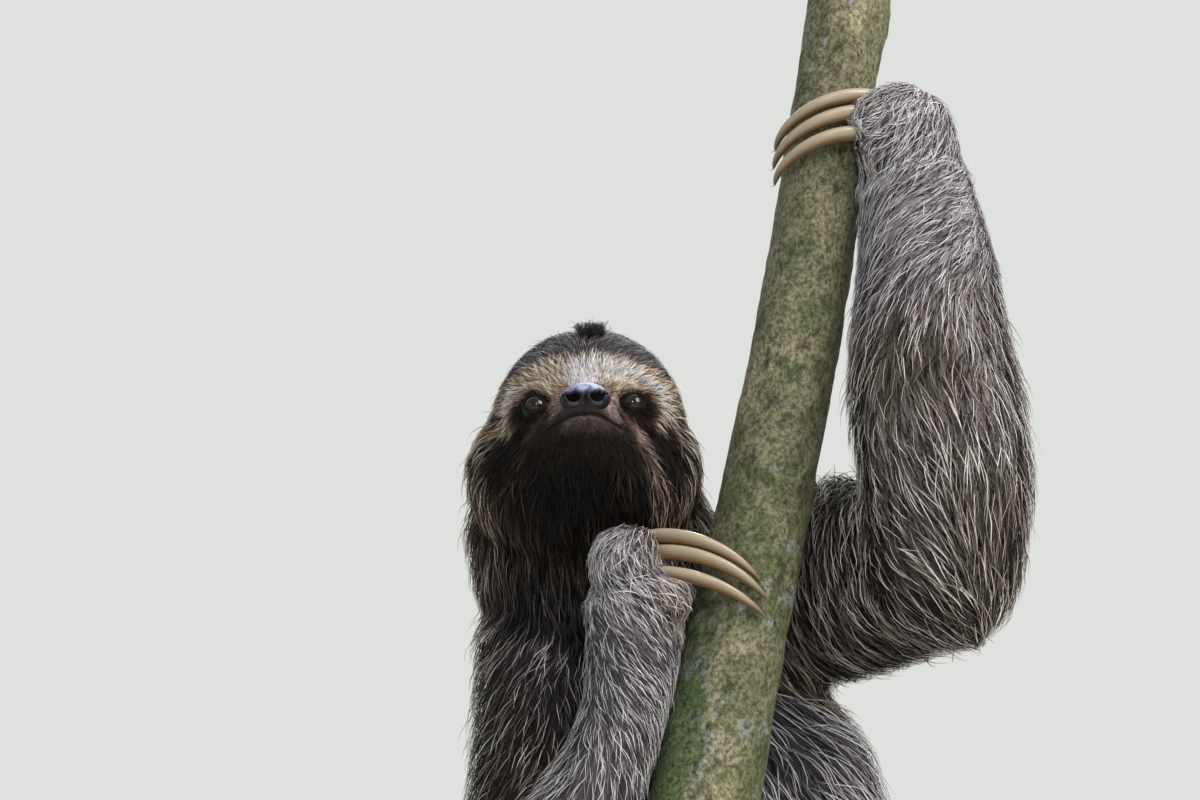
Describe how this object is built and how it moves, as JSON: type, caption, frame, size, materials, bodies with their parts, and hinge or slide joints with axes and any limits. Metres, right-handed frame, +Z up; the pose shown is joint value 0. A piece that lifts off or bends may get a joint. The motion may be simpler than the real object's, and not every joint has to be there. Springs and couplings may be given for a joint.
{
  "type": "three-toed sloth model",
  "caption": "Life-size still model of a three-toed sloth clinging to a cut length of leaning trunk, one arm raised, on a flat display stand.",
  "frame": {"origin": "centre of the display stand's underside, on the floor", "axes": "+Z up; the sloth faces -Y; its left side, with the raised arm, is towards +X"},
  "size_m": [0.36, 0.3, 0.845],
  "materials": {
    "coat": "long coarse grey-brown hair, faintly greenish",
    "coat_throat": "dark brown hair of the throat and neck",
    "coat_face": "short cream face hair with dark eye stripes",
    "claw_horn": "smooth cream horn",
    "nose_skin": "moist black skin",
    "eye": "dark brown, wet gloss",
    "bark": "thin mottled bark with moss and lichen",
    "stand_wood": "dark satin hardwood",
    "stand_steel": "brushed"
  },
  "bodies": {
    "root": {"arm_left_fore": "coat", "arm_left_upper": "coat", "arm_right_fore": "coat", "arm_right_upper": "coat", "belly": "coat", "chest": "coat", "claw_foot_left_1": "claw_horn", "claw_foot_left_2": "claw_horn", "claw_foot_left_3": "claw_horn", "claw_foot_right_1": "claw_horn", "claw_foot_right_2": "claw_horn", "claw_foot_right_3": "claw_horn", "claw_hand_left_1": "claw_horn", "claw_hand_left_2": "claw_horn", "claw_hand_left_3": "claw_horn", "claw_hand_right_1": "claw_horn", "claw_hand_right_2": "claw_horn", "claw_hand_right_3": "claw_horn", "eye_left": "eye", "eye_right": "eye", "foot_left": "coat", "foot_right": "coat", "hand_left": "coat", "hand_right": "coat", "head": "coat_face", "leg_left_shin": "coat", "leg_left_thigh": "coat", "leg_right_shin": "coat", "leg_right_thigh": "coat", "neck": "coat_throat", "nose": "nose_skin", "perch": "bark", "stand_base": "stand_wood", "stand_rod_left": "stand_steel", "stand_rod_right": "stand_steel", "tail": "coat"}
  },
  "joints": []
}
